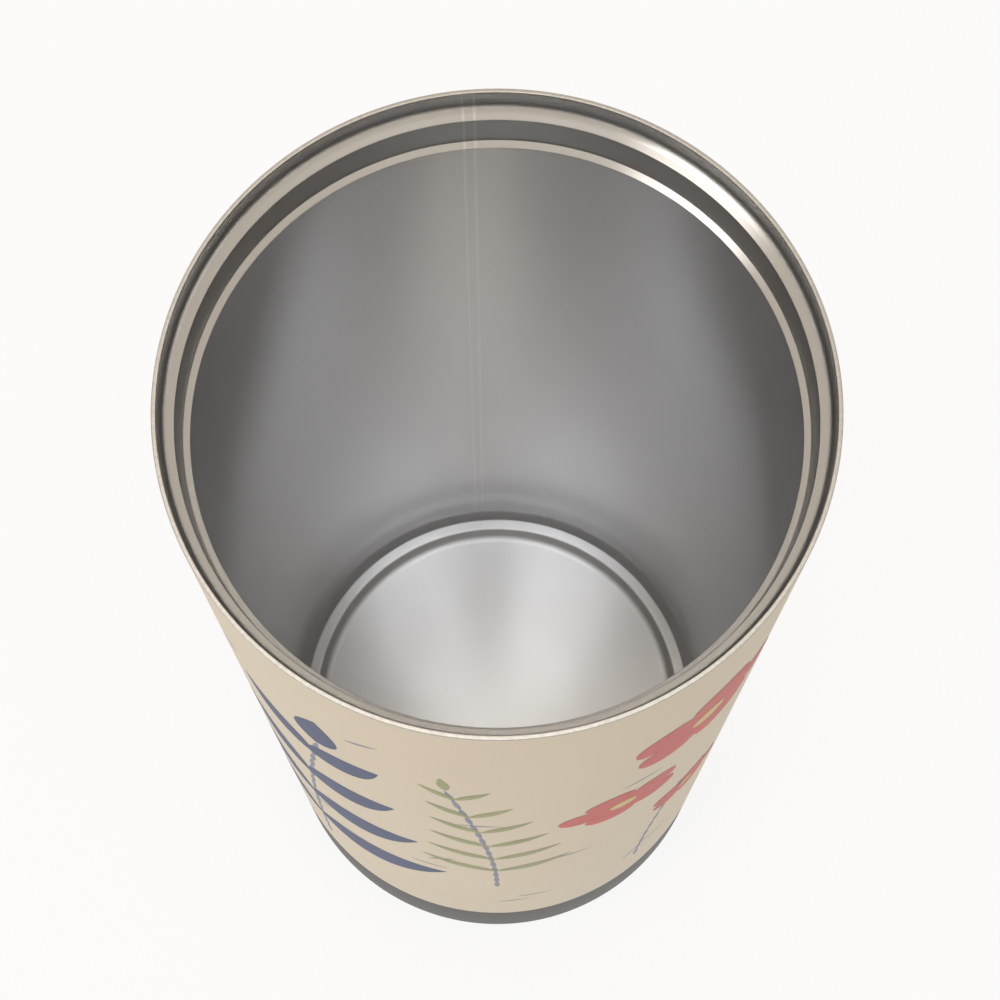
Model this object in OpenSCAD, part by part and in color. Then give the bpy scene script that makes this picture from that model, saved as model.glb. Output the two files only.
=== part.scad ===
// Coffee tin: an open, double-walled steel vessel.
// A printed outer shell and a bare base cup make the outside.
// A seamed liner with a rolled mouth and a pressed floor make the inside.
// The foot stands on z = 0 and the axis of the vessel is Z.

/* [Outer shell] */
// Outside diameter of the vessel
body_d = 86; // [70:1:110]
// Height from the foot to the rim
body_h = 198; // [120:1:260]
// Sheet thickness of the outer shell
shell_t = 0.3; // [0.25:0.05:0.5]

/* [Liner] */
// Sheet thickness of the liner
liner_t = 0.25; // [0.2:0.05:0.4]
// Empty gap between the outer shell and the liner
wall_gap = 1.3; // [1:0.1:2]

/* [Mouth] */
// Depth of the upright band under the rim
rim_band = 1.9; // [1.5:0.1:3]
// Depth of the slope between the upright band and the gutter wall
slope_h = 1.4; // [1.2:0.1:2]
// How far the slope leads inwards
slope_run = 1.4; // [1.2:0.1:1.8]
// Depth of the gutter wall below the slope
gutter_wall = 4.6; // [3:0.1:6]
// How far the gutter wall leans inwards
gutter_lean = 0.1; // [0.05:0.05:0.4]
// Width of the gutter at its bottom
gutter_w = 0.4; // [0.3:0.05:1]
// How far the lip stands up out of the gutter
lip_rise = 0.6; // [0.5:0.05:1.2]
// Gap inside the folded lip
fold_gap = 0.35; // [0.15:0.05:0.6]
// Height of the throat, from the top of the lip to its lower edge
throat_h = 3.2; // [2.5:0.1:6]
// Height of the return from the throat to the liner wall
return_h = 1.2; // [0.8:0.1:3]

/* [Floor] */
// Sheet thickness of the floor
floor_t = 0.4; // [0.3:0.05:0.6]
// Height of the floor's bead above the foot
bead_z = 18.2; // [15:0.1:30]
// Width of the bead, from the flange to the step
bead_w = 2.9; // [2.5:0.1:5]
// Depth of the step from the bead down to the panel
step_h = 4.2; // [2:0.1:6]
// How far the step leads inwards
step_run = 2; // [1:0.1:4]
// How far the panel sinks from its edge to its middle
panel_dish = 0.8; // [0.2:0.1:2]
// Length of the turned-down flange
flange_h = 6; // [3.5:0.1:8]

/* [Base] */
// Sheet thickness of the base cup
cup_t = 0.4; // [0.3:0.05:0.6]
// Height of the bare band at the foot
foot_h = 21.5; // [10:0.5:30]
// Height of the spigot that goes up inside the outer shell
spigot_h = 5; // [3:0.5:10]
// Width of the ring that the vessel stands on
foot_ring_w = 4.5; // [3:0.1:8]
// Rounding of the outside corner at the foot
foot_edge_r = 1.4; // [0.8:0.1:2.5]
// Height of the recess under the base
recess_h = 3; // [2.4:0.1:5]
// How far the wall of the recess leads inwards
recess_run = 2; // [1:0.1:4]
// Diameter of the port in the base cup
port_d = 4; // [2:0.5:6]
// Diameter of the bead that seals the port
seal_d = 8; // [7:0.5:12]
// Thickness of the bead below the port
seal_h = 0.6; // [0.4:0.1:1]
// Sheet thickness of the cover disc
disc_t = 0.4; // [0.3:0.05:0.6]
// Depth of the cover disc's sunk middle
disc_sink = 1.4; // [1.2:0.1:2]
// Width of the cover disc's glued rim
disc_rim_w = 4; // [2:0.5:8]
// Diameter of the getter capsule
getter_d = 9; // [6:0.5:12]
// Height of the getter capsule
getter_h = 2; // [1.5:0.1:4]
// Wall of the getter capsule
getter_wall = 0.8; // [0.4:0.1:1.5]
// Bottom of the getter capsule
getter_floor = 1; // [0.4:0.1:1]
// Distance of the getter capsule from the axis
getter_r = 18; // [12:0.5:22]

/* [Bends and fits] */
// Clearance where one formed piece slides into another
slide_fit = 0.05; // [0.03:0.01:0.1]
// Bend from the upright band into the slope
slope_bend_r = 0.7; // [0.3:0.1:1]
// Bend of the shoulder between the slope and the gutter wall
shoulder_r = 3; // [1:0.1:3.5]
// Flat that is left on top of the lip between its two bends
lip_flat = 0.09; // [0.05:0.01:0.15]
// Bends between the throat and the liner wall
return_bend_r = 0.4; // [0.3:0.05:0.6]
// Bend from the floor's panel into its step
panel_bend_r = 1.6; // [0.8:0.1:2]
// Bend from the floor's step into its bead
bead_bend_r = 1; // [0.6:0.1:1.2]
// Bend from the floor's bead into its flange
flange_bend_r = 1.5; // [0.6:0.1:1.6]
// Bends at the foot and at the top of the recess
recess_bend_r = 1; // [0.5:0.1:1.2]
// Bends of the cover disc
disc_bend_r = 1; // [0.5:0.1:1.5]

/* [Hidden] */

$fn = 180;
// Points on each rounded corner of a profile
corner_steps = 6;
// Smallest bend on the inside of a fold
least_bend_r = 0.03;
// Turns with a smaller sine than this count as straight
straight_sine = 0.001;
// Share of the gutter's width that each of its two bottom bends takes
gutter_bend_share = 0.45;

body_r = body_d / 2;
shell_inner_r = body_r - shell_t;
liner_rim_r = shell_inner_r - slide_fit - liner_t;
liner_wall_r = shell_inner_r - wall_gap - liner_t;
gutter_r = liner_rim_r - slope_run - gutter_lean;
lip_w = 2 * liner_t + fold_gap;
lip_outer_r = liner_t - least_bend_r;
lip_inner_r = lip_w - lip_outer_r - lip_flat;
gutter_edge_r = gutter_w * gutter_bend_share;
throat_r = gutter_r - gutter_w - lip_w;
gutter_z = body_h - rim_band - slope_h - gutter_wall;
lip_z = gutter_z + lip_rise;
throat_end_z = lip_z - throat_h;
flange_r = liner_wall_r - slide_fit;
floor_low_z = bead_z - flange_h;
panel_r = flange_r - bead_w - step_run;
panel_z = bead_z - step_h;
recess_r = body_r - foot_ring_w - recess_run;
spigot_r = shell_inner_r - slide_fit;
disc_r = recess_r - cup_t - slide_fit;

cream = "#e9dfcb";
steel = "#b9b7b1";
bright_steel = "#cbcac6";
foot_steel = "#8f8d86";
glass = "#5d6f66";
dark_steel = "#6d6c68";

// Unit vector from one point to another
function way(a, b) = let (d = [b[0] - a[0], b[1] - a[1]]) d / norm(d);

// The normal to the left of a direction
function left_of(d) = [-d[1], d[0]];

// Sine of the turn from one direction to the next, positive to the left
function turn_sine(d, e) = d[0] * e[1] - d[1] * e[0];

// A corner moved to the left by t, where the two moved sides cross
function moved_corner(p, d, e, t) =
    let (n = left_of(d) + left_of(e))
    [p[0], p[1]] + n * (2 * t / (n * n));

// A path of [r, z, corner radius] moved to its left by t, with concentric corners.
// An end on the axis stays on it
function moved_path(path, t) =
    let (last = len(path) - 1)
    [for (i = [0:last])
        let (d = way(path[max(i - 1, 0)], path[max(i, 1)]))
        let (e = i == last ? d : way(path[i], path[i + 1]))
        let (p = moved_corner(path[i], d, e, t))
        let (grown = turn_sine(d, e) > 0 ? -t : t)
        [path[i][0] == 0 ? 0 : p[0], p[1], path[i][2] == 0 ? 0 : max(path[i][2] + grown, least_bend_r)]];

// The points of one corner, rounded with its radius
function corner(a, p, b) =
    let (d = way(a, p), e = way(p, b), s = turn_sine(d, e))
    p[2] == 0 || abs(s) < straight_sine ? [[p[0], p[1]]] :
    let (turn = atan2(s, d * e), side = sign(s))
    let (start = [p[0], p[1]] - d * (p[2] * tan(abs(turn) / 2)))
    let (centre = start + left_of(d) * side * p[2])
    [for (k = [0:corner_steps])
        let (q = turn * k / corner_steps, v = start - centre)
        centre + [v[0] * cos(q) - v[1] * sin(q), v[0] * sin(q) + v[1] * cos(q)]];

// All the points of a path, with its corners rounded
function rounded(path) =
    let (last = len(path) - 1)
    [for (i = [0:last])
        each i == 0 || i == last ? [[path[i][0], path[i][1]]] : corner(path[i - 1], path[i], path[i + 1])];

function backwards(list) = [for (i = [len(list) - 1:-1:0]) list[i]];

// Sheet turned about Z. The path is one face. The other lies to the left of the path,
// or to its right if the thickness is negative
module formed_sheet(path, thickness) {
    rotate_extrude()
        polygon(concat(rounded(path), backwards(rounded(moved_path(path, thickness)))));
}

// Printed tube that slips over the base cup's spigot
module outer_shell() {
    color(cream)
        rotate_extrude()
            translate([shell_inner_r, foot_h])
                square([shell_t, body_h - foot_h]);
}

// Seamed tube with its mouth rolled into a slope, a gutter and a lip
module liner() {
    path = [
        [liner_rim_r, body_h, 0],
        [liner_rim_r, body_h - rim_band, slope_bend_r],
        [liner_rim_r - slope_run, body_h - rim_band - slope_h, shoulder_r],
        [gutter_r, gutter_z, gutter_edge_r],
        [gutter_r - gutter_w, gutter_z, gutter_edge_r],
        [gutter_r - gutter_w, lip_z, lip_outer_r],
        [throat_r, lip_z, lip_inner_r],
        [throat_r, throat_end_z, return_bend_r],
        [liner_wall_r, throat_end_z - return_h, return_bend_r],
        [liner_wall_r, floor_low_z, 0],
    ];
    color(steel)
        formed_sheet(path, liner_t);
}

// Pressed disc with a turned-down flange, a bead, a step and a sunk panel
module liner_floor() {
    path = [
        [0, panel_z - panel_dish, 0],
        [panel_r, panel_z, panel_bend_r],
        [panel_r + step_run, bead_z, bead_bend_r],
        [flange_r, bead_z, flange_bend_r],
        [flange_r, floor_low_z, 0],
    ];
    color(bright_steel)
        formed_sheet(path, -floor_t);
}

// Bare cup that closes the jacket and makes the foot
module base_cup() {
    path = [
        [spigot_r, foot_h + spigot_h, 0],
        [spigot_r, foot_h, 0],
        [body_r, foot_h, 0],
        [body_r, 0, foot_edge_r],
        [body_r - foot_ring_w, 0, recess_bend_r],
        [recess_r, recess_h, recess_bend_r],
        [port_d / 2, recess_h, 0],
    ];
    color(foot_steel)
        formed_sheet(path, -cup_t);
}

// Bead that fills the port and spreads a little below it
module seal_bead() {
    color(glass)
        union() {
            translate([0, 0, recess_h - seal_h])
                cylinder(h = seal_h, d1 = seal_d - 2 * seal_h, d2 = seal_d);
            translate([0, 0, recess_h - seal_h])
                cylinder(h = seal_h + cup_t, d = port_d - 2 * slide_fit);
        }
}

// Capsule that stands on the base cup inside the empty gap
module getter() {
    color(dark_steel)
        translate([getter_r, 0, recess_h + cup_t])
            difference() {
                cylinder(h = getter_h, d = getter_d);
                translate([0, 0, getter_floor])
                    cylinder(h = getter_h, d = getter_d - 2 * getter_wall);
            }
}

// Cover under the base: a glued rim and a sunk middle that clears the bead
module base_disc() {
    rim_z = recess_h - slide_fit - disc_t;
    path = [
        [0, rim_z - disc_sink, 0],
        [disc_r - disc_rim_w - disc_sink, rim_z - disc_sink, disc_bend_r],
        [disc_r - disc_rim_w, rim_z, disc_bend_r],
        [disc_r, rim_z, 0],
    ];
    color(steel)
        formed_sheet(path, disc_t);
}

outer_shell();
liner();
liner_floor();
base_cup();
seal_bead();
getter();
base_disc();
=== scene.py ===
# %% [markdown]
# A double-walled coffee tin, seen from above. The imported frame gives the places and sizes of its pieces.
# This lesson gives every sheet its fine bends, its steel or its coating, and its light. Nearly every piece
# is round, so most of the work is to draw good outlines and to choose good finishes.

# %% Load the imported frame
import math

import bmesh
import bpy
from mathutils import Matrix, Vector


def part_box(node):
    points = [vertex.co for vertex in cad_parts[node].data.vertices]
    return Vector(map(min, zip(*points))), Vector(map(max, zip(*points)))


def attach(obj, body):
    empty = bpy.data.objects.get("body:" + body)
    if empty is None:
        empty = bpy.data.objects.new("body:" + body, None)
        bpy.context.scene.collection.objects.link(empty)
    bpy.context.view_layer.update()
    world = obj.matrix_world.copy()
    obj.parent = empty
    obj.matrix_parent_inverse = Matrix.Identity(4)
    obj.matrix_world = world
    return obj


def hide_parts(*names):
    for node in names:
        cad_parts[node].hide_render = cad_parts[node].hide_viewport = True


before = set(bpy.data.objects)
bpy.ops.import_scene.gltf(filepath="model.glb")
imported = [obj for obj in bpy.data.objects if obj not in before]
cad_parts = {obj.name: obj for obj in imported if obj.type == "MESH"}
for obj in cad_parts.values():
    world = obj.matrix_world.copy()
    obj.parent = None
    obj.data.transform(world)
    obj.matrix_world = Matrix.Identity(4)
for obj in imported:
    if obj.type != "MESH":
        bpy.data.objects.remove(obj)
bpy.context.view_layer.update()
MM = 0.001
print("nodes in the frame:", sorted(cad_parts))

# %% [markdown]
# Sizes. They could all be typed in again, but then the tin and its frame could drift apart. So the driving
# sizes come from the frame: the box of a node gives its radius and its heights. Only what a box can't tell,
# such as a thickness or a bend, is written in this script in millimetres.

# %% Sizes taken from the frame
shell_low, shell_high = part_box("outer_shell")
floor_low, floor_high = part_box("liner_floor")
cup_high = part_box("base_cup")[1]

BODY_R = shell_high.x
RIM_Z = shell_high.z
FOOT_TOP = shell_low.z
FLANGE_R = floor_high.x
BEAD_Z = floor_high.z
FLANGE_LOW = floor_low.z
SPIGOT_TOP = cup_high.z

SHELL_T = 0.3 * MM
LINER_T = 0.25 * MM
SLIDE_FIT = 0.05 * MM
WELD_H = 0.3 * MM
LINER_RIM_R = BODY_R - SHELL_T - SLIDE_FIT - LINER_T
LINER_WALL_R = FLANGE_R + SLIDE_FIT
print(f"tin: {2 * BODY_R / MM:.1f} mm across, {RIM_Z / MM:.1f} mm high")

# %% [markdown]
# The camera. The photograph looks steeply down into the mouth from close by, so the tin narrows strongly
# towards its foot. A camera can be moved by eye until the picture fits. Here its focal length and its tilt
# were solved from the ellipse of the rim, the sloping sides and the foot, which is surer. Its place is
# given in radii of the tin, so that it follows the frame.

# %% Camera
IMAGE_PX = 1000
FOCAL_PX = 2140
AXIS_PX_X = 497.1
SENSOR_MM = 36
CLIP_START = 0.01
CAMERA_BACK = 2.13 * BODY_R
CAMERA_ABOVE_RIM = 5.81 * BODY_R
CAMERA_DOWN = math.radians(72.58)

camera_data = bpy.data.cameras.new("photo_camera")
camera_data.sensor_width = SENSOR_MM
camera_data.lens = FOCAL_PX / IMAGE_PX * SENSOR_MM
camera_data.shift_x = (IMAGE_PX / 2 - AXIS_PX_X) / IMAGE_PX
camera_data.clip_start = CLIP_START
camera = bpy.data.objects.new("photo_camera", camera_data)
bpy.context.scene.collection.objects.link(camera)
camera.location = (0, -CAMERA_BACK, RIM_Z + CAMERA_ABOVE_RIM)
camera.rotation_euler = (math.pi / 2 - CAMERA_DOWN, 0, 0)
bpy.context.scene.camera = camera
bpy.context.scene.view_settings.view_transform = "Standard"
print(f"lens {camera_data.lens:.1f} mm, {CAMERA_ABOVE_RIM:.2f} m above the rim")

# %% [markdown]
# Helpers. Colours are written as on a colour chart, in sRGB, but a shader counts in linear light, so one
# function turns the one into the other. Nodes could be placed by hand in the editor. Here one function adds
# a node with its settings and its links, which keeps every material and tree short enough to read.

# %% Colour and node helpers
def linear(hex_colour):
    """sRGB hex to linear RGBA."""
    parts = [int(hex_colour[i:i + 2], 16) / 255 for i in (1, 3, 5)]
    return [c / 12.92 if c <= 0.04045 else ((c + 0.055) / 1.055) ** 2.4 for c in parts] + [1.0]


def add(tree, kind, settings=None, inputs=None):
    """Adds a node. An input takes a value, or a socket to link from."""
    node = tree.nodes.new(kind)
    for name, value in (settings or {}).items():
        setattr(node, name, value)
    for key, value in (inputs or {}).items():
        if isinstance(value, bpy.types.NodeSocket):
            tree.links.new(value, node.inputs[key])
        else:
            node.inputs[key].default_value = value
    return node


print("mid grey is", round(linear("#808080")[0], 3), "in linear light")

# %% [markdown]
# Every finish on the tin wanders a little in tone, and most have a fine relief, because no real surface is
# one flat colour. A painted picture could give both, but it would have to be fitted to every piece. So they
# come from noise on the piece's own coordinates, with a scale worked out from a size in millimetres.

# %% Material helpers
def new_material(name):
    """An empty material and its Principled shader, linked to the output."""
    material = bpy.data.materials.new(name)
    material.use_nodes = True
    tree = material.node_tree
    tree.nodes.clear()
    shader = add(tree, "ShaderNodeBsdfPrincipled")
    add(tree, "ShaderNodeOutputMaterial", inputs={"Surface": shader.outputs["BSDF"]})
    return material, tree, shader


def per_mm(size_mm):
    """Texture scale at which one feature is about that many millimetres wide."""
    return 1 / (size_mm * MM)


def set_tone(tree, shader, size_mm, detail, dark, light):
    """Lets the colour wander between two tones, in patches of that size."""
    place = add(tree, "ShaderNodeTexCoord").outputs["Object"]
    patches = add(tree, "ShaderNodeTexNoise",
                  inputs={"Vector": place, "Scale": per_mm(size_mm), "Detail": detail})
    tone = add(tree, "ShaderNodeMix", {"data_type": "RGBA"},
               {"Factor": patches.outputs["Fac"], 6: linear(dark), 7: linear(light)})
    tree.links.new(tone.outputs[2], shader.inputs["Base Color"])


def set_relief(tree, shader, size_mm, detail, strength, height_mm):
    """Gives the surface a fine relief of that width and height."""
    place = add(tree, "ShaderNodeTexCoord").outputs["Object"]
    grain = add(tree, "ShaderNodeTexNoise",
                inputs={"Vector": place, "Scale": per_mm(size_mm), "Detail": detail})
    bump = add(tree, "ShaderNodeBump",
               inputs={"Height": grain.outputs["Fac"], "Strength": strength, "Distance": height_mm * MM})
    tree.links.new(bump.outputs["Normal"], shader.inputs["Normal"])


print("materials in the file so far:", len(bpy.data.materials))

# %% [markdown]
# The floor is a sheet of white paper. A plain lit floor would turn grey towards the corners of the picture.
# So for the camera and for reflections it is mostly its own white, which adds no diffuse light to the tin.
# The rest of it stays a lit surface, which keeps the shadow.

# %% Floor
FLOOR_SIZE = 16.0
FLOOR_OWN_WHITE = 0.88


def seen_directly(tree):
    """1 for rays that come straight from the camera or by reflection or transmission."""
    path = add(tree, "ShaderNodeLightPath")
    glossy = add(tree, "ShaderNodeMath", {"operation": "MAXIMUM"},
                 {0: path.outputs["Is Camera Ray"], 1: path.outputs["Is Glossy Ray"]})
    return add(tree, "ShaderNodeMath", {"operation": "MAXIMUM"},
               {0: glossy.outputs[0], 1: path.outputs["Is Transmission Ray"]}).outputs[0]


def floor_material():
    """White paper: its own white where it is seen, and a lit surface for the rest."""
    material = bpy.data.materials.new("white_paper_floor")
    material.use_nodes = True
    tree = material.node_tree
    tree.nodes.clear()
    paper = add(tree, "ShaderNodeBsdfDiffuse", inputs={"Color": linear("#f4f4f3")})
    glow = add(tree, "ShaderNodeEmission", inputs={"Color": linear("#ffffff"), "Strength": 1.0})
    share = add(tree, "ShaderNodeMath", {"operation": "MULTIPLY"},
                {0: seen_directly(tree), 1: FLOOR_OWN_WHITE})
    mix = add(tree, "ShaderNodeMixShader",
              inputs={0: share.outputs[0], 1: paper.outputs[0], 2: glow.outputs[0]})
    add(tree, "ShaderNodeOutputMaterial", inputs={"Surface": mix.outputs[0]})
    return material


half = FLOOR_SIZE / 2
floor_corners = [(-half, -half, 0), (half, -half, 0), (half, half, 0), (-half, half, 0)]
floor_mesh = bpy.data.meshes.new("floor")
floor_mesh.from_pydata(floor_corners, [], [(0, 1, 2, 3)])
floor_mesh.materials.append(floor_material())
floor = bpy.data.objects.new("floor", floor_mesh)
bpy.context.scene.collection.objects.link(floor)
print("floor is", FLOOR_SIZE, "m across")

# %% [markdown]
# The room. Steel shows what is around it, so the tone of the room matters as much as the lamps. A panorama
# of a studio could stand here. One even colour is enough, pale and a little warm, which tints the rolled
# mouth. Straight from the camera the room is white, as the floor is.

# %% Room
ROOM_STRENGTH = 0.6

world = bpy.data.worlds.new("studio")
bpy.context.scene.world = world
world.use_nodes = True
sky = world.node_tree
sky.nodes.clear()
sky_path = add(sky, "ShaderNodeLightPath")
room = add(sky, "ShaderNodeBackground", inputs={"Color": linear("#f4e8d6"), "Strength": ROOM_STRENGTH})
white = add(sky, "ShaderNodeBackground", inputs={"Color": linear("#ffffff"), "Strength": 1.0})
sky_mix = add(sky, "ShaderNodeMixShader",
              inputs={0: sky_path.outputs["Is Camera Ray"], 1: room.outputs[0], 2: white.outputs[0]})
add(sky, "ShaderNodeOutputWorld", inputs={"Surface": sky_mix.outputs[0]})
print("room strength", ROOM_STRENGTH)

# %% [markdown]
# The lamps. The coating is brightest on its left, and the rolled mouth shines to the right of its far side.
# Both come from one tall soft box at the front left. The inside of the tin sees only what is high above it.
# So two small boxes high at the front, one on each side, make the soft lobes on the far wall by way of the
# floor, and one high behind lights the floor itself. Area lamps are used because steel shows the soft edge
# of a lamp.

# %% Soft boxes
TIN_MIDDLE = (0, 0, RIM_Z / 2)
LAMP_DISTANCE = 1.0


def soft_box(name, around, up, width, height, watts, colour):
    """An area lamp that looks at the tin. Around is its bearing from the front to the right, in degrees."""
    lamp = bpy.data.lights.new(name, "AREA")
    lamp.shape = "RECTANGLE"
    lamp.size = width
    lamp.size_y = height
    lamp.energy = watts
    lamp.color = linear(colour)[:3]
    lamp_object = bpy.data.objects.new(name, lamp)
    bpy.context.scene.collection.objects.link(lamp_object)
    bearing = math.radians(around)
    rise = math.radians(up)
    away = (math.sin(bearing) * math.cos(rise), -math.cos(bearing) * math.cos(rise), math.sin(rise))
    lamp_object.location = [m + a * LAMP_DISTANCE for m, a in zip(TIN_MIDDLE, away)]
    lamp_object.rotation_euler = (math.pi / 2 - rise, 0, bearing)


soft_box("key_box", around=-55, up=25, width=0.5, height=0.8, watts=1.8, colour="#fffaf4")
soft_box("high_right_box", around=48, up=77, width=0.25, height=0.25, watts=1.1, colour="#f6f9ff")
soft_box("high_left_box", around=-36, up=77, width=0.25, height=0.25, watts=1.2, colour="#f6f9ff")
soft_box("high_back_box", around=-158, up=79, width=0.25, height=0.2, watts=1.0, colour="#fff6e8")

# %% [markdown]
# Brushed stainless steel. The tube and the floor were finished on a turning spindle, so their fine lines
# run around the axis, and reflections are drawn out across the lines: upright streaks on the wall, wedges
# on the floor. The lines could be drawn one by one as a relief, but they are finer than a pixel. An
# anisotropic shader gives the same look: it needs the direction across the lines, which comes from the
# normal and the axis. The grain that grit leaves is also too fine to show, so it is drawn about a quarter
# of a millimetre wide.

# %% Steel
GRAIN_DETAIL = 2.0
CLOUD_DETAIL = 4.0
GRAIN_STRENGTH = 0.5


def across_the_lines(tree):
    """The direction on a turned surface that crosses the lines running around the axis."""
    place = add(tree, "ShaderNodeTexCoord").outputs["Object"]
    parts = add(tree, "ShaderNodeSeparateXYZ", inputs={0: place}).outputs
    minus_y = add(tree, "ShaderNodeMath", {"operation": "MULTIPLY"}, {0: parts["Y"], 1: -1.0}).outputs[0]
    around = add(tree, "ShaderNodeCombineXYZ", inputs={"X": minus_y, "Y": parts["X"]}).outputs[0]
    normal = add(tree, "ShaderNodeNewGeometry").outputs["Normal"]
    across = add(tree, "ShaderNodeVectorMath", {"operation": "CROSS_PRODUCT"}, {0: normal, 1: around})
    return across.outputs[0]


def satin_steel(name, dark, light, roughness, brushed, cloud_mm, grain_mm, grain_height_mm):
    """Steel with a cloudy tone, a fine grain and lines that run around the axis."""
    material, tree, shader = new_material(name)
    set_tone(tree, shader, cloud_mm, CLOUD_DETAIL, dark, light)
    set_relief(tree, shader, grain_mm, GRAIN_DETAIL, GRAIN_STRENGTH, grain_height_mm)
    tree.links.new(across_the_lines(tree), shader.inputs["Tangent"])
    shader.inputs["Metallic"].default_value = 1.0
    shader.inputs["Roughness"].default_value = roughness
    shader.inputs["Anisotropic"].default_value = brushed
    return material


# The wall of the liner is bright, with soft upright streaks.
LINER_STEEL = satin_steel("brushed_liner_steel", "#e2e2e2", "#e7e7e7", roughness=0.25, brushed=0.6,
                          cloud_mm=9.0, grain_mm=0.25, grain_height_mm=0.001)
print("first steel:", LINER_STEEL.name)

# %% [markdown]
# The other steels come from the same function, because they differ only in how far they were ground. On the
# floor the lines of the brush meet at the axis, where a real brush leaves no clear direction, so there the
# brushing fades.

# %% Other steels
FADE_R = 20 * MM


def fade_to_centre(material, radius):
    """Lets the brushing fade towards the axis, where the lines of a spinning brush would meet."""
    tree = material.node_tree
    brushed = tree.nodes["Principled BSDF"].inputs["Anisotropic"]
    place = add(tree, "ShaderNodeTexCoord").outputs["Object"]
    flat = add(tree, "ShaderNodeVectorMath", {"operation": "MULTIPLY"}, {0: place, 1: (1, 1, 0)})
    reach = add(tree, "ShaderNodeVectorMath", {"operation": "LENGTH"}, {0: flat.outputs[0]})
    share = add(tree, "ShaderNodeMapRange",
                inputs={"Value": reach.outputs["Value"], "From Max": radius, "To Max": brushed.default_value})
    tree.links.new(share.outputs["Result"], brushed)


# The floor is duller and strongly brushed, so its reflections open in wedges.
FLOOR_STEEL = satin_steel("brushed_floor_steel", "#b8b8b8", "#bdbdbd", roughness=0.4, brushed=0.82,
                          cloud_mm=12.0, grain_mm=0.25, grain_height_mm=0.001)
fade_to_centre(FLOOR_STEEL, FADE_R)
# The foot is dull from the grinding belt. Its steel is painted far darker than bare steel is:
# painted shade that stands in for the dark surroundings it reflects near the ground.
FOOT_STEEL_PAINTED_DARK = satin_steel("foot_steel_with_painted_shade", "#4c4a44", "#575550", roughness=0.42, brushed=0.5,
                         cloud_mm=6.0, grain_mm=0.2, grain_height_mm=0.002)
# The ground weld on the rim is speckled and has no direction.
RIM_STEEL = satin_steel("ground_rim_weld_steel", "#a5a29d", "#dad7d2", roughness=0.45, brushed=0.0,
                        cloud_mm=0.5, grain_mm=0.3, grain_height_mm=0.01)
# The edges of the side weld are a trace paler than the wall.
SEAM_STEEL = satin_steel("planished_seam_steel", "#ebebeb", "#f1f1f1", roughness=0.27, brushed=0.6,
                         cloud_mm=1.5, grain_mm=0.25, grain_height_mm=0.001)
print("other steels:", FLOOR_STEEL.name, FOOT_STEEL_PAINTED_DARK.name, RIM_STEEL.name, SEAM_STEEL.name)

# %% [markdown]
# Cream lacquer. The outer shell is sprayed with a warm matt lacquer before it is printed, and the spray
# dries with a faint orange peel. A flat colour would look like plastic. The peel breaks up the sheen and
# the tone drifts a little every few centimetres, as sprayed paint does.

# %% Cream lacquer
LACQUER_ROUGHNESS = 0.48
LACQUER_IOR = 1.48


def cream_lacquer():
    """Warm matt lacquer with a faint orange peel."""
    material, tree, shader = new_material("cream_lacquer")
    set_tone(tree, shader, size_mm=35, detail=3.0, dark="#e0d5c1", light="#e6dcca")
    set_relief(tree, shader, size_mm=0.9, detail=1.0, strength=0.3, height_mm=0.02)
    shader.inputs["Roughness"].default_value = LACQUER_ROUGHNESS
    shader.inputs["IOR"].default_value = LACQUER_IOR
    return material


CREAM = cream_lacquer()
print("coating:", CREAM.name)

# %% [markdown]
# Sheet metal. A sheet could be a surface with a Solidify modifier, but its bends would then be of the wrong
# radius on one side. So a sheet is drawn here as a path of its visible face, with a bend radius at each
# corner. The other face is the same path moved by the thickness, with bends about the same centres.
# Together they are the outline that is turned about the axis.

# %% Sheet outlines
BEND_STEPS = 9
LEAST_BEND = 0.03 * MM
STRAIGHT_SINE = 0.001


def way(a, b):
    """Unit vector from a to b."""
    length = math.hypot(b[0] - a[0], b[1] - a[1])
    return (b[0] - a[0]) / length, (b[1] - a[1]) / length


def moved_path(path, t):
    """The path moved to its left by t, with concentric bends. An end on the axis stays there."""
    moved = []
    for i, (r, z, bend) in enumerate(path):
        d = way(path[max(i - 1, 0)], path[max(i, 1)])
        e = way(path[i], path[i + 1]) if i + 1 < len(path) else d
        n = (-d[1] - e[1], d[0] + e[0])
        k = 2 * t / (n[0] ** 2 + n[1] ** 2)
        grown = bend - t if d[0] * e[1] - d[1] * e[0] > 0 else bend + t
        moved.append((r + n[0] * k if r else 0, z + n[1] * k, max(grown, LEAST_BEND) if bend else 0))
    return moved


def rounded(path):
    """The points of a path, with each corner drawn as an arc of its bend radius."""
    points = [path[0][:2]]
    for before, (r, z, bend), after in zip(path, path[1:], path[2:]):
        d = way(before, (r, z))
        e = way((r, z), after)
        sine = d[0] * e[1] - d[1] * e[0]
        if bend == 0 or abs(sine) < STRAIGHT_SINE:
            points.append((r, z))
            continue
        turn = math.atan2(sine, d[0] * e[0] + d[1] * e[1])
        side = math.copysign(1, sine)
        back = bend * math.tan(abs(turn) / 2)
        start = (r - d[0] * back, z - d[1] * back)
        centre = (start[0] - d[1] * side * bend, start[1] + d[0] * side * bend)
        arm = (start[0] - centre[0], start[1] - centre[1])
        for k in range(BEND_STEPS + 1):
            c = math.cos(turn * k / BEND_STEPS)
            s = math.sin(turn * k / BEND_STEPS)
            points.append((centre[0] + arm[0] * c - arm[1] * s, centre[1] + arm[0] * s + arm[1] * c))
    points.append(path[-1][:2])
    return points


def sheet_outline(path, t):
    """Both faces of a sheet as one closed outline."""
    return rounded(path) + rounded(moved_path(path, t))[::-1]


sample_corner = [(0, 0, 0), (10 * MM, 0, 2 * MM), (10 * MM, 10 * MM, 0)]
print("a square corner with a bend of 2 mm has", len(rounded(sample_corner)), "points")

# %% [markdown]
# Trees. Geometry nodes make what follows a rule. Every tree here has named inputs and ends in the same way:
# its instances are made real, because only real faces are exported, and the faces get their material.

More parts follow.
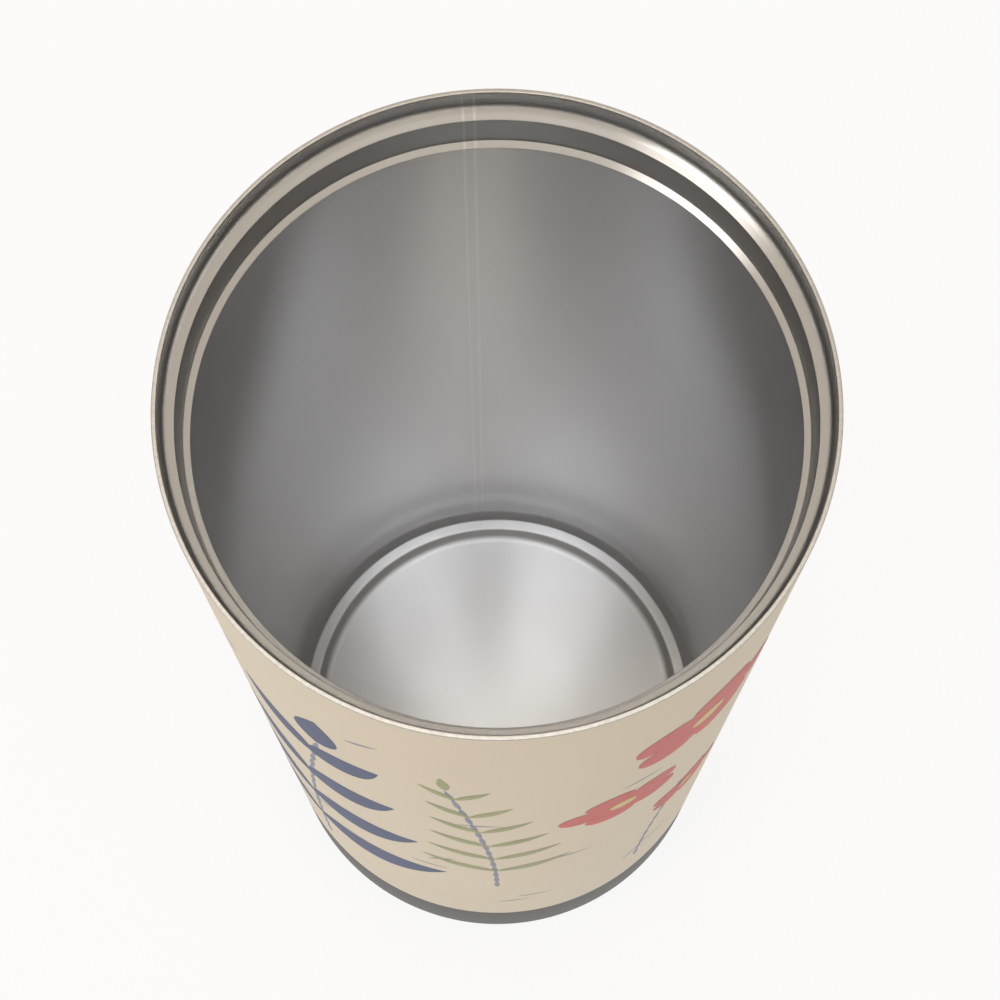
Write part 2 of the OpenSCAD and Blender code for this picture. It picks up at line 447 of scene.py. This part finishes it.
# %% Beginning and end of a tree
def new_tree(name, inputs):
    """A geometry tree with named inputs, and the sockets that give their values."""
    tree = bpy.data.node_groups.new(name, "GeometryNodeTree")
    for socket_name, kind in inputs.items():
        tree.interface.new_socket(socket_name, in_out="INPUT", socket_type="NodeSocket" + kind)
    tree.interface.new_socket("Geometry", in_out="OUTPUT", socket_type="NodeSocketGeometry")
    return tree, add(tree, "NodeGroupInput").outputs


def end_tree(tree, geometry, material):
    """Makes instances real and gives the faces their material."""
    real = add(tree, "GeometryNodeRealizeInstances", inputs={"Geometry": geometry})
    done = add(tree, "GeometryNodeSetMaterial", inputs={"Geometry": real.outputs[0], "Material": material})
    add(tree, "NodeGroupOutput", inputs={"Geometry": done.outputs[0]})
    print(tree.name, "has", len(tree.nodes), "nodes")


print("trees in the file so far:", len(bpy.data.node_groups))

# %% [markdown]
# Turning. Every main piece of the tin was spun, rolled or pressed round, so each is an outline turned about
# the axis. A Screw modifier could do it. One tree does it here for all pieces and closes the seam and the
# poles: a grid gets one row for each point of the outline and one column for each step of the turn, each of
# its points is moved to the outline's radius at the column's angle, and points that meet are merged.

# %% The turning tree
MERGE_DISTANCE = 0.001 * MM


def turning_tree():
    """Turns a row of outline points about the axis."""
    tree, given = new_tree("turned_outline", {"Outline": "Geometry", "Outline Points": "Int", "Steps": "Int",
                                              "Material": "Material"})
    math_node = "ShaderNodeMath"
    rows = add(tree, math_node, {"operation": "ADD"}, {0: given["Outline Points"], 1: 1.0}).outputs[0]
    columns = add(tree, math_node, {"operation": "ADD"}, {0: given["Steps"], 1: 1.0}).outputs[0]
    grid = add(tree, "GeometryNodeMeshGrid", inputs={"Vertices X": rows, "Vertices Y": columns})
    index = add(tree, "GeometryNodeInputIndex").outputs[0]
    share = add(tree, math_node, {"operation": "DIVIDE"}, {0: index, 1: columns}).outputs[0]
    row = add(tree, math_node, {"operation": "FLOOR"}, {0: share}).outputs[0]
    column = add(tree, math_node, {"operation": "MODULO"}, {0: index, 1: columns}).outputs[0]
    corner = add(tree, math_node, {"operation": "MODULO"}, {0: row, 1: given["Outline Points"]}).outputs[0]
    point = add(tree, "GeometryNodeSampleIndex", {"data_type": "FLOAT_VECTOR"},
                {"Geometry": given["Outline"], "Value": add(tree, "GeometryNodeInputPosition").outputs[0],
                 "Index": corner})
    parts = add(tree, "ShaderNodeSeparateXYZ", inputs={0: point.outputs["Value"]}).outputs
    turn = add(tree, math_node, {"operation": "DIVIDE"}, {0: column, 1: given["Steps"]}).outputs[0]
    angle = add(tree, math_node, {"operation": "MULTIPLY"}, {0: turn, 1: math.tau}).outputs[0]
    cosine = add(tree, math_node, {"operation": "COSINE"}, {0: angle}).outputs[0]
    sine = add(tree, math_node, {"operation": "SINE"}, {0: angle}).outputs[0]
    x = add(tree, math_node, {"operation": "MULTIPLY"}, {0: parts["X"], 1: cosine}).outputs[0]
    y = add(tree, math_node, {"operation": "MULTIPLY"}, {0: parts["X"], 1: sine}).outputs[0]
    place = add(tree, "ShaderNodeCombineXYZ", inputs={"X": x, "Y": y, "Z": parts["Z"]})
    moved = add(tree, "GeometryNodeSetPosition",
                inputs={"Geometry": grid.outputs["Mesh"], "Position": place.outputs[0]})
    merged = add(tree, "GeometryNodeMergeByDistance",
                 inputs={"Geometry": moved.outputs[0], "Distance": MERGE_DISTANCE})
    end_tree(tree, merged.outputs[0], given["Material"])
    return tree


TURNING = turning_tree()

# %% [markdown]
# A finished piece is a plain mesh: the tree is evaluated once, its result is copied, and the working object
# goes. Normals are made to point out of the metal, and only real edges, such as the cut end of a sheet,
# stay sharp.

# %% From a tree to a plain mesh
SHARP_EDGE = math.radians(50)
SLIVER = 0.0005 * MM


def cleaned(mesh, closed):
    """Takes slivers out of a mesh, turns its faces outwards and shades it smooth between sharp edges."""
    shape = bmesh.new()
    shape.from_mesh(mesh)
    bmesh.ops.dissolve_degenerate(shape, dist=SLIVER, edges=shape.edges)
    if closed:
        bmesh.ops.recalc_face_normals(shape, faces=shape.faces)
    shape.to_mesh(mesh)
    shape.free()
    mesh.shade_smooth()
    mesh.set_sharp_from_angle(angle=SHARP_EDGE)


def as_piece(name, source, tree, values, closed=True):
    """Runs a tree on a source mesh and returns the result as a plain object at the origin."""
    worker = bpy.data.objects.new(name + "_source", source)
    bpy.context.scene.collection.objects.link(worker)
    modifier = worker.modifiers.new("make", "NODES")
    modifier.node_group = tree
    sockets = {s.name: s.identifier for s in tree.interface.items_tree if s.in_out == "INPUT"}
    for socket_name, value in values.items():
        modifier[sockets[socket_name]] = value
    graph = bpy.context.evaluated_depsgraph_get()
    mesh = bpy.data.meshes.new_from_object(worker.evaluated_get(graph))
    bpy.data.objects.remove(worker)
    mesh.name = name
    cleaned(mesh, closed)
    piece = bpy.data.objects.new(name, mesh)
    bpy.context.scene.collection.objects.link(piece)
    print(name, "has", len(mesh.polygons), "faces")
    return piece


print("edges of more than", round(math.degrees(SHARP_EDGE)), "degrees stay sharp")

# %% [markdown]
# Each round piece is made by one call. The sheets at the mouth are seen close up against the white floor,
# so they get more steps than the rest. Every piece then rides on the tin, and one that stands for a node of
# the frame takes its place.

# %% Round pieces
STEPS = 240
FINE_STEPS = 300


def turned(name, outline, material, steps):
    """An outline of (r, z) points turned about the axis."""
    source = bpy.data.meshes.new(name + "_outline")
    source.from_pydata([(r, 0, z) for r, z in outline], [], [])
    values = {"Outline Points": len(outline), "Steps": steps, "Material": material}
    return as_piece(name, source, TURNING, values)


def finish_piece(piece, slot, *nodes):
    """Rides a piece on the tin and hides the nodes that it stands for. Its slot is not used."""
    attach(piece, "root")
    if nodes:
        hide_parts(*nodes)


print("one step of the rim is", round(math.tau * BODY_R / FINE_STEPS / MM, 2), "mm long")

# %% [markdown]
# The liner is a welded tube whose top was rolled: an upright band that runs out in a cove, a steep throat,
# and a coned lip that carries the plug of a lid. Below the lip the sheet springs back to the wall. It could
# be modelled ring by ring from a cylinder, but a path of its inner face with a bend at each corner is
# enough, because the sheet is equally thick all along, and it is easier to correct.

# %% Liner
BAND_H = 3.25 * MM
COVE_RUN = 1.7 * MM
COVE_FALL = 1.2 * MM
COVE_BEND = 2.4 * MM
THROAT_H = 4.9 * MM
THROAT_LEAN = 0.4 * MM
LIP_RUN = 0.85 * MM
LIP_FALL = 0.65 * MM
LIP_EDGE = 0.3 * MM
RETURN_H = 1.2 * MM
SOFT_BEND = 0.35 * MM
EDGE_BEND = 0.12 * MM

cove_r = LINER_RIM_R - COVE_RUN
cove_z = RIM_Z - BAND_H - COVE_FALL
throat_r = cove_r - THROAT_LEAN
throat_z = cove_z - THROAT_H
lip_r = throat_r - LIP_RUN
lip_z = throat_z - LIP_FALL

liner_path = [
    (LINER_RIM_R, RIM_Z - WELD_H, 0),
    (LINER_RIM_R, RIM_Z - BAND_H, COVE_BEND),
    (cove_r, cove_z, SOFT_BEND),
    (throat_r, throat_z, EDGE_BEND),
    (lip_r, lip_z, EDGE_BEND),
    (lip_r, lip_z - LIP_EDGE, EDGE_BEND),
    (LINER_WALL_R, lip_z - LIP_EDGE - RETURN_H, SOFT_BEND),
    (LINER_WALL_R, FLANGE_LOW, 0),
]
liner = turned("rolled_liner", sheet_outline(liner_path, LINER_T), LINER_STEEL, FINE_STEPS)
finish_piece(liner, "liner_steel", "liner")

# %% [markdown]
# The side weld. The tube was rolled from flat sheet. Its joint was welded and then rolled flat, and the two
# edges of the weld still show as hairlines that follow the sheet from the rim to the floor. They could be
# painted on, but real ridges catch the light in every view. A tree sweeps a flat ellipse along the visible
# face of the liner and then turns it to the place of the joint.

# %% The ridge tree
RIDGE_STEPS = 20


def ridge_tree():
    """Sweeps a flat ellipse along a path and turns it about the axis."""
    tree, given = new_tree("ridge_along_path", {"Path": "Geometry", "Width": "Float", "Height": "Float",
                                                "Angle": "Float", "Material": "Material"})
    path = add(tree, "GeometryNodeMeshToCurve", inputs={"Mesh": given["Path"]})
    faced = add(tree, "GeometryNodeSetCurveNormal", {"mode": "FREE"},
                {"Curve": path.outputs[0], "Normal": (0.0, 1.0, 0.0)})
    ring = add(tree, "GeometryNodeCurvePrimitiveCircle", inputs={"Resolution": RIDGE_STEPS, "Radius": 0.5})
    size = add(tree, "ShaderNodeCombineXYZ", inputs={"X": given["Width"], "Y": given["Height"], "Z": 1.0})
    flat = add(tree, "GeometryNodeTransform", inputs={"Geometry": ring.outputs[0], "Scale": size.outputs[0]})
    swept = add(tree, "GeometryNodeCurveToMesh",
                inputs={"Curve": faced.outputs[0], "Profile Curve": flat.outputs[0], "Fill Caps": True})
    turn = add(tree, "ShaderNodeCombineXYZ", inputs={"Z": given["Angle"]})
    placed = add(tree, "GeometryNodeTransform",
                 inputs={"Geometry": swept.outputs[0], "Rotation": turn.outputs[0]})
    end_tree(tree, placed.outputs[0], given["Material"])
    return tree


RIDGE = ridge_tree()

# %% [markdown]
# The path of a hairline is the inner face of the liner itself, down into the groove beside the floor's
# bead. It could be drawn anew, but taken from the liner it can't leave the sheet. Both hairlines share it
# and differ only in their angle.

# %% Side weld
SEAM_W = 1.5 * MM
SEAM_END = 1.0 * MM
SEAM_ANGLE = math.radians(95.2)
HAIRLINE_W = 0.4 * MM
HAIRLINE_H = 0.014 * MM

seam_path = [point for point in rounded(liner_path) if point[1] > BEAD_Z]
seam_path.append((LINER_WALL_R, BEAD_Z - SEAM_END))
seam_links = [(i, i + 1) for i in range(len(seam_path) - 1)]
seam_source = bpy.data.meshes.new("seam_path")
seam_source.from_pydata([(r, 0, z) for r, z in seam_path], seam_links, [])
for side, edge_name in ((-1, "seam_left_edge"), (1, "seam_right_edge")):
    angle = SEAM_ANGLE - side * SEAM_W / 2 / LINER_WALL_R
    hairline_sizes = {"Width": HAIRLINE_W, "Height": HAIRLINE_H, "Angle": angle, "Material": SEAM_STEEL}
    hairline = as_piece(edge_name, seam_source.copy(), RIDGE, hairline_sizes)
    finish_piece(hairline, "liner_steel")

# %% [markdown]
# The floor is one pressing: a flange turned down into the liner, a flat bead, a low step and a flat panel.
# It could be one more sheet path, but its joint with the wall was welded, so the groove between the bead
# and the wall is closed. So its upper face is drawn as far as the wall, while its lower face follows the
# pressed sheet.

# %% Liner floor
FLOOR_T = 0.4 * MM
BEAD_INNER = 4.2 * MM
BEAD_OUTER = 2.2 * MM
BEAD_BEND = 0.9 * MM
STEP_RUN = 1.7 * MM
STEP_H = 1.4 * MM
PANEL_BEND = 2.5 * MM
GROOVE_H = 1.2 * MM
FLANGE_BEND = 0.5 * MM

panel_r = FLANGE_R - BEAD_INNER - STEP_RUN
panel_z = BEAD_Z - STEP_H
groove_z = BEAD_Z - GROOVE_H
pressed_path = [
    (0, panel_z, 0),
    (panel_r, panel_z, PANEL_BEND),
    (FLANGE_R - BEAD_INNER, BEAD_Z, BEAD_BEND),
    (FLANGE_R - BEAD_OUTER, BEAD_Z, BEAD_BEND),
]
welded_edge = [(LINER_WALL_R, groove_z, 0)]
flange = [(FLANGE_R, groove_z, FLANGE_BEND), (FLANGE_R, FLANGE_LOW, 0)]
floor_outline = rounded(pressed_path + welded_edge) + [(FLANGE_R, FLANGE_LOW)]
floor_outline += rounded(moved_path(pressed_path + flange, -FLOOR_T))[::-1]
liner_floor = turned("pressed_floor", floor_outline, FLOOR_STEEL, STEPS)
finish_piece(liner_floor, "floor_steel", "liner_floor")

# %% [markdown]
# The outer shell is a plain tube. Its coating ends just under the rim, where a weld joins both sheets. The
# weld was ground, so it is a grey, speckled line around the mouth. Shell and weld could be one piece with
# two materials. They are two here, because a bend at the edge of each shows where the lacquer stops.

# %% Outer shell and rim weld
FOOT_EDGE_BEND = 0.06 * MM
COAT_EDGE_BEND = 0.05 * MM
WELD_FOOT_BEND = 0.02 * MM

weld_z = RIM_Z - WELD_H
shell_outline = rounded([
    (BODY_R - SHELL_T, FOOT_TOP, 0),
    (BODY_R, FOOT_TOP, FOOT_EDGE_BEND),
    (BODY_R, weld_z, COAT_EDGE_BEND),
    (BODY_R - SHELL_T, weld_z, 0),
])
shell = turned("coated_shell", shell_outline, CREAM, FINE_STEPS)
finish_piece(shell, "printed_shell", "outer_shell")

weld_outline = rounded([
    (LINER_RIM_R, weld_z, 0),
    (BODY_R, weld_z, WELD_FOOT_BEND),
    (BODY_R, RIM_Z, EDGE_BEND),
    (LINER_RIM_R, RIM_Z, EDGE_BEND),
    (LINER_RIM_R, weld_z, 0),
])[:-1]
rim_weld = turned("rim_weld", weld_outline, RIM_STEEL, FINE_STEPS)
finish_piece(rim_weld, "liner_steel")

# %% [markdown]
# Printing inks. The print is a plain garden pattern: tall sprigs of leaves, round blossoms and short
# dashes. Its inks are matt, like the lacquer under them, and their strength wanders as in a brushed wash.
# Five inks are enough. One material with a colour attribute could serve for all, but a material for each
# ink is easier to change.

# %% Inks
WASH_MM = 5
WASH_DETAIL = 5.0
INK_ROUGHNESS = 0.48
INK_SPECULAR = 0.3


def ink(name, deep, pale):
    """Matt printing ink whose strength wanders."""
    material, tree, shader = new_material(name)
    set_tone(tree, shader, WASH_MM, WASH_DETAIL, deep, pale)
    shader.inputs["Roughness"].default_value = INK_ROUGHNESS
    shader.inputs["Specular IOR Level"].default_value = INK_SPECULAR
    return material


INKS = {
    "coral": ink("coral_ink", "#c9504c", "#dd6f68"),
    "navy": ink("navy_ink", "#27386a", "#3c4f7d"),
    "olive": ink("olive_ink", "#8d9468", "#b3b884"),
    "yellow": ink("pale_yellow_ink", "#d9c37c", "#e6d79f"),
    "slate": ink("slate_ink", "#77809a", "#959bb0"),
}
print("inks:", sorted(INKS))

# %% [markdown]
# Laying the print on the shell. A print is a film of ink a few thousandths of a millimetre thick. It could
# be a mask inside the lacquer's material, but then each motif would be a formula. Here a motif is a small
# flat mesh. A tree sets copies of it at given places, turns and sizes, and rolls them onto the cylinder.

# %% The printing tree
def printing_tree():
    """Sets copies of a flat motif at places and rolls them onto a cylinder."""
    tree, given = new_tree("motifs_on_cylinder", {"Places": "Geometry", "Motif": "Object", "Radius": "Float",
                                                  "Material": "Material"})
    math_node = "ShaderNodeMath"
    attribute = "GeometryNodeInputNamedAttribute"
    motif = add(tree, "GeometryNodeObjectInfo", inputs={"Object": given["Motif"]})
    turn = add(tree, attribute, {"data_type": "FLOAT"}, {"Name": "turn"}).outputs[0]
    size = add(tree, attribute, {"data_type": "FLOAT"}, {"Name": "size"}).outputs[0]
    spin = add(tree, "ShaderNodeCombineXYZ", inputs={"Y": turn})
    copies = add(tree, "GeometryNodeInstanceOnPoints",
                 inputs={"Points": given["Places"], "Instance": motif.outputs["Geometry"],
                         "Rotation": spin.outputs[0], "Scale": size})
    real = add(tree, "GeometryNodeRealizeInstances", inputs={"Geometry": copies.outputs[0]})
    position = add(tree, "GeometryNodeInputPosition").outputs[0]
    flat = add(tree, "ShaderNodeSeparateXYZ", inputs={0: position}).outputs
    angle = add(tree, math_node, {"operation": "DIVIDE"}, {0: flat["X"], 1: given["Radius"]}).outputs[0]
    sine = add(tree, math_node, {"operation": "SINE"}, {0: angle}).outputs[0]
    cosine = add(tree, math_node, {"operation": "COSINE"}, {0: angle}).outputs[0]
    x = add(tree, math_node, {"operation": "MULTIPLY"}, {0: sine, 1: given["Radius"]}).outputs[0]
    front = add(tree, math_node, {"operation": "MULTIPLY"}, {0: cosine, 1: given["Radius"]}).outputs[0]
    y = add(tree, math_node, {"operation": "MULTIPLY"}, {0: front, 1: -1.0}).outputs[0]
    place = add(tree, "ShaderNodeCombineXYZ", inputs={"X": x, "Y": y, "Z": flat["Z"]})
    laid = add(tree, "GeometryNodeSetPosition",
               inputs={"Geometry": real.outputs[0], "Position": place.outputs[0]})
    end_tree(tree, laid.outputs[0], given["Material"])
    return tree


PRINTING = printing_tree()

# %% [markdown]
# Motifs. A few are enough. A leaf is a strip whose width follows a sine, and a blade and a dash are
# narrower ones. A blossom is a disc with a waved edge, and its centre is a plain disc. All are drawn 1 mm
# long, so a copy's size is its length in millimetres. They could be filled curves, but these have few
# points inside, and rows of faces bend better around the shell.

# %% Motifs
LEAF_SKEW = 0.8
LEAF_FULLNESS = 0.9
LEAF_TIP = 0.004
PETAL_FULLNESS = 0.6


def motif_object(name, points, faces):
    """An object that only serves as a pattern for copies, so it is linked to no collection."""
    mesh = bpy.data.meshes.new(name)
    mesh.from_pydata(points, [], faces)
    return bpy.data.objects.new(name, mesh)


def strip_motif(name, width, rows, columns):
    """A leaf that starts at the origin and points up. Width is a share of its length."""
    points, faces = [], []
    for i in range(rows + 1):
        t = i / rows
        half_w = width / 2 * math.sin(math.pi * t ** LEAF_SKEW) ** LEAF_FULLNESS if 0 < t < 1 else LEAF_TIP
        points += [(half_w * (2 * j / columns - 1) * MM, 0, t * MM) for j in range(columns + 1)]
    across = columns + 1
    for i in range(rows):
        faces += [(i * across + j, i * across + j + 1, (i + 1) * across + j + 1, (i + 1) * across + j)
                  for j in range(columns)]
    return motif_object(name, points, faces)


def blossom_motif(name, petals, wave, rings, steps):
    """A disc of length 1 with a waved edge around the origin."""
    points, faces = [(0, 0, 0)], []
    for i in range(1, rings + 1):
        for k in range(steps):
            a = math.tau * k / steps
            edge = 0.5 * (1 - wave + wave * abs(math.cos(petals * a / 2)) ** PETAL_FULLNESS)
            points.append((edge * i / rings * math.sin(a) * MM, 0, edge * i / rings * math.cos(a) * MM))
    for k in range(steps):
        n = (k + 1) % steps
        faces.append((0, 1 + n, 1 + k))
        for i in range(rings - 1):
            low = 1 + i * steps
            high = low + steps
            faces.append((low + k, low + n, high + n, high + k))
    return motif_object(name, points, faces)


LEAF = strip_motif("leaf", width=0.42, rows=20, columns=6)
BLADE = strip_motif("blade", width=0.2, rows=20, columns=6)
DASH = strip_motif("dash", width=0.12, rows=10, columns=2)
BLOSSOM = blossom_motif("blossom", petals=5, wave=0.35, rings=6, steps=60)
CENTRE = blossom_motif("centre", petals=1, wave=0.0, rings=3, steps=24)
print("motifs:", LEAF.name, BLADE.name, DASH.name, BLOSSOM.name, CENTRE.name)

# %% [markdown]
# Plants. Each is a list of places, worked out by a rule so that it can be made taller or fuller. A place is
# the way around from the front, the height above the foot, a turn and a size, in millimetres and radians.
# Dashes between the plants are spread by the golden ratio, which leaves no gaps and no rows and needs no
# random numbers.

# %% Plants
AROUND = math.tau * BODY_R / MM
GOLDEN = 0.618034
SPREAD_LOSS = 0.4
LEAF_LOSS = 0.5
TIP_LEAF = 0.5
DASH_PITCH = 0.8
SCATTER_PACE = 3.7
SCATTER_TURN = 1.2
SCATTER_SWAY = 0.5


def sprig(u, foot, height, lean, pairs, leaf, spread):
    """Leaves in pairs on a leaning stem, smaller towards its tip."""
    places = []
    for i in range(pairs):
        t = (i + 0.5) / pairs
        for side in (-1, 1):
            turn = side * spread * (1 - SPREAD_LOSS * t)
            places.append((u + lean * t * t, foot + height * t, turn, leaf * (1 - LEAF_LOSS * t)))
    return places + [(u + lean, foot + height, math.atan2(lean, height), leaf * TIP_LEAF)]


def stem(u, foot, height, lean, dash):
    """A row of dashes that follows the same stem."""
    count = int(height / (dash * DASH_PITCH))
    places = []
    for i in range(count):
        turn = math.atan2(2 * lean * i / count, height)
        places.append((u + lean * (i / count) ** 2, foot + height * i / count, turn, dash))
    return places


def scattered(count, low, high, size):
    """Short dashes spread evenly by the golden ratio."""
    places = []
    for i in range(count):
        rise = i * GOLDEN ** 2 * SCATTER_PACE % 1
        turn = SCATTER_TURN + SCATTER_SWAY * math.sin(i)
        places.append(((i * GOLDEN % 1) * AROUND, low + (high - low) * rise, turn, size))
    return places


print("the print is", round(AROUND), "mm around")

# %% [markdown]
# Layout. The pattern repeats twice around the tin: a navy sprig, an olive sprig, a stalk of coral blossoms
# and a yellow sprig stand side by side, with slate dashes between them. Two repeats keep the plants large,
# and from any side about one of them is seen.

# %% Layout of the print
REPEATS = 2
PLANTS = 4
STAND = AROUND / (REPEATS * PLANTS)
CENTRE_SHARE = 0.22

navy, olive, coral, yellow, centres = [], [], [], [], []
dashes = []
for repeat in range(REPEATS):
    start = repeat * AROUND / REPEATS - STAND
    navy += sprig(start - 2, foot=44, height=112, lean=9, pairs=4, leaf=34, spread=1.05)
    dashes += stem(start - 2, foot=36, height=118, lean=9, dash=9)
    olive += sprig(start + STAND, foot=76, height=84, lean=-7, pairs=6, leaf=17, spread=0.9)
    dashes += stem(start + STAND, foot=62, height=96, lean=-7, dash=8)
    stalk = start + 2 * STAND - 6
    blossoms = [(stalk + 4, 160, 0.2, 27), (stalk - 8, 126, 0.9, 21), (stalk + 7, 96, 1.5, 16)]
    coral += blossoms
    centres += [(u, v, 0, size * CENTRE_SHARE) for u, v, _, size in blossoms]
    dashes += stem(stalk, foot=42, height=62, lean=5, dash=8)
    yellow += sprig(start + 3 * STAND - 3, foot=56, height=95, lean=7, pairs=5, leaf=21, spread=0.8)
dashes += scattered(46, low=40, high=175, size=7)
print("leaves:", len(navy) + len(olive) + len(yellow), "blossoms:", len(coral), "dashes:", len(dashes))

# %% [markdown]
# Films. Inks are printed one after the other, so each colour of each motif is a film of its own, a little
# further out than the one before. The steps are larger than real ink is thick, because two films in the
# same place would flicker.

# %% Printed films
FILM_H = 0.012 * MM


def print_film(name, motif, places, colour, film):
    """One colour of one motif as a film on the shell. Film counts the layers from the coating outwards."""
    source = bpy.data.meshes.new(name + "_places")
    source.from_pydata([(u * MM, 0, v * MM) for u, v, _, _ in places], [], [])
    for key, column in (("turn", 2), ("size", 3)):
        values = source.attributes.new(key, "FLOAT", "POINT")
        values.data.foreach_set("value", [place[column] for place in places])
    film_values = {"Motif": motif, "Radius": BODY_R + film * FILM_H, "Material": INKS[colour]}
    layer = as_piece(name, source, PRINTING, film_values, closed=False)
    finish_piece(layer, "printed_shell")


films = [
    ("print_slate_dashes", DASH, dashes, "slate"),
    ("print_navy_leaves", LEAF, navy, "navy"),
    ("print_olive_blades", BLADE, olive, "olive"),
    ("print_coral_blossoms", BLOSSOM, coral, "coral"),
    ("print_yellow_leaves", LEAF, yellow, "yellow"),
    ("print_yellow_centres", CENTRE, centres, "yellow"),
]
for film, (film_name, motif, places, colour) in enumerate(films, start=1):
    print_film(film_name, motif, places, colour, film)

# %% [markdown]
# The base cup closes the jacket. Its upper edge slides into the shell, its bare side shows as a grey band
# below the coating, and its underside is pressed up inside a ring, on which the tin stands. It could be put
# together from rings, but it was drawn from one sheet, so one path of its outer face gives it all.

# %% Base cup
CUP_T = 0.4 * MM
FOOT_RING_W = 4.5 * MM
FOOT_RING_BEND = 1.4 * MM
RECESS_RUN = 2.0 * MM
RECESS_H = 3.0 * MM
RECESS_BEND = 1.0 * MM
PORT_R = 2.0 * MM

spigot_r = BODY_R - SHELL_T - SLIDE_FIT
recess_r = BODY_R - FOOT_RING_W - RECESS_RUN
cup_path = [
    (spigot_r, SPIGOT_TOP, 0),
    (spigot_r, FOOT_TOP, 0),
    (BODY_R, FOOT_TOP, FOOT_EDGE_BEND),
    (BODY_R, 0, FOOT_RING_BEND),
    (BODY_R - FOOT_RING_W, 0, RECESS_BEND),
    (recess_r, RECESS_H, RECESS_BEND),
    (PORT_R, RECESS_H, 0),
]
# The dark grey band of the foot is painted shade, from the darkened foot steel.
base_cup = turned("bare_base_cup", sheet_outline(cup_path, -CUP_T), FOOT_STEEL_PAINTED_DARK, STEPS)
finish_piece(base_cup, "foot_steel", "base_cup")

# %% [markdown]
# The cover disc lies under the foot, and the getter and the seal bead are hidden. They could be made anew,
# but their solids in the frame already have their real shape. So they stay as they are and only get a
# finish: ground steel for the disc, dull steel for the getter, and dark, smooth sealing glass for the bead.

# %% Finishes of the carried-over nodes
GLASS_ROUGHNESS = 0.12
GLASS_IOR = 1.6

# The disc is pale and evenly ground.
DISC_STEEL = satin_steel("belt_finished_disc_steel", "#b2aea6", "#c2beb5", roughness=0.34, brushed=0.5,
                         cloud_mm=8.0, grain_mm=0.2, grain_height_mm=0.002)
# The getter is grey and dull, with no direction.
GETTER_STEEL = satin_steel("dull_getter_steel", "#7d7b76", "#8f8d87", roughness=0.5, brushed=0.0,
                           cloud_mm=2.0, grain_mm=0.2, grain_height_mm=0.003)


def sealing_glass():
    """Dark glass that was melted into the port."""
    material, tree, shader = new_material("dark_sealing_glass")
    set_tone(tree, shader, size_mm=1.5, detail=3.0, dark="#39443f", light="#55655d")
    shader.inputs["Roughness"].default_value = GLASS_ROUGHNESS
    shader.inputs["IOR"].default_value = GLASS_IOR
    return material


finishes = {"base_disc": DISC_STEEL, "getter": GETTER_STEEL, "seal_bead": sealing_glass()}
for node_name, material in finishes.items():
    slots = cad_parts[node_name].data.materials
    slots.clear()
    slots.append(material)
    print(node_name, "is now", material.name)
